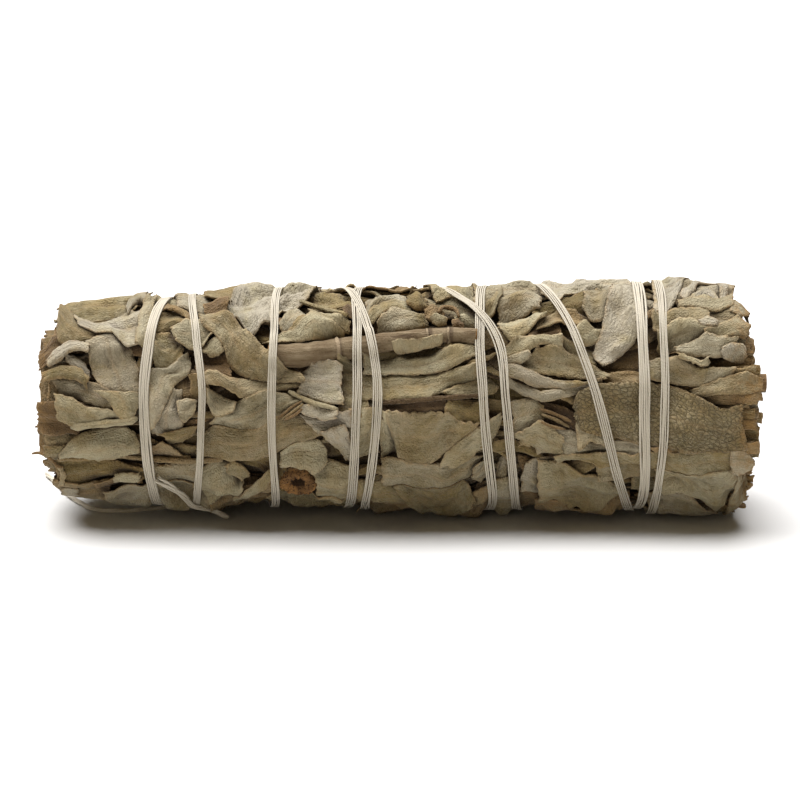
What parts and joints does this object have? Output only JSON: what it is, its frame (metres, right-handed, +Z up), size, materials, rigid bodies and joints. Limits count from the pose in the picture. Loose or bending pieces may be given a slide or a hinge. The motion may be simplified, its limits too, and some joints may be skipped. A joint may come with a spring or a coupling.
{
  "type": "sage bunch",
  "caption": "Tight cylindrical bunch of dried white sage leaves and stems, wound along its length and back with cotton thread, lying on its side for burning as a smudge stick.",
  "frame": {"origin": "on the table under the middle of the bunch, on the flat of the right-hand lower leaf and straight below the bunch's axis", "axes": "+X along the bunch towards its cut stem ends on the right, +Z up, -Y towards the viewer, the side with the broad front leaf"},
  "size_m": [0.1009, 0.0334, 0.0313],
  "materials": {
    "leaf": "matte",
    "pale_leaf": "matte",
    "rolled_leaf": "matte",
    "stem": "matte",
    "cut_stem": "matte",
    "thread": "matte"
  },
  "bodies": {
    "root": {"binding_thread": "thread", "core_stem_1": "stem", "core_stem_2": "stem", "core_stem_3": "stem", "core_stem_4": "stem", "core_stem_5": "stem", "core_stem_6": "stem", "core_stem_7": "stem", "cut_stem_stub": "cut_stem", "inner_leaf_1_left": "leaf", "inner_leaf_1_right": "leaf", "inner_leaf_2_left": "leaf", "inner_leaf_2_right": "leaf", "inner_leaf_3_left": "leaf", "inner_leaf_3_right": "leaf", "inner_leaf_4_left": "leaf", "inner_leaf_4_right": "leaf", "leaf_back_lower_left": "pale_leaf", "leaf_back_lower_right": "pale_leaf", "leaf_back_middle_left": "leaf", "leaf_back_middle_right": "leaf", "leaf_back_upper_left": "pale_leaf", "leaf_back_upper_right": "pale_leaf", "leaf_front_left": "pale_leaf", "leaf_front_right": "pale_leaf", "leaf_lower_front_left": "leaf", "leaf_lower_front_right": "leaf", "leaf_stem_side_left": "leaf", "leaf_stem_side_right": "leaf", "leaf_top_back_left": "leaf", "leaf_top_back_right": "leaf", "leaf_top_front_left": "pale_leaf", "leaf_top_front_right": "pale_leaf", "leaf_underside_left": "leaf", "leaf_underside_right": "leaf", "middle_leaf_1_left": "leaf", "middle_leaf_1_right": "leaf", "middle_leaf_2_left": "leaf", "middle_leaf_2_right": "leaf", "middle_leaf_3_left": "leaf", "middle_leaf_3_right": "leaf", "middle_leaf_4_left": "leaf", "middle_leaf_4_right": "leaf", "middle_leaf_5_left": "leaf", "middle_leaf_5_right": "leaf", "middle_leaf_6_left": "leaf", "middle_leaf_6_right": "leaf", "rolled_leaf_1": "rolled_leaf", "rolled_leaf_2": "rolled_leaf", "rolled_leaf_3": "rolled_leaf", "rolled_leaf_4": "rolled_leaf", "rolled_leaf_5": "rolled_leaf", "rolled_leaf_6": "rolled_leaf", "rolled_leaf_7": "rolled_leaf", "rolled_leaf_8": "rolled_leaf", "rolled_leaf_9": "rolled_leaf", "surface_stem": "stem", "thread_end_floor": "thread", "thread_end_front": "thread"}
  },
  "joints": []
}
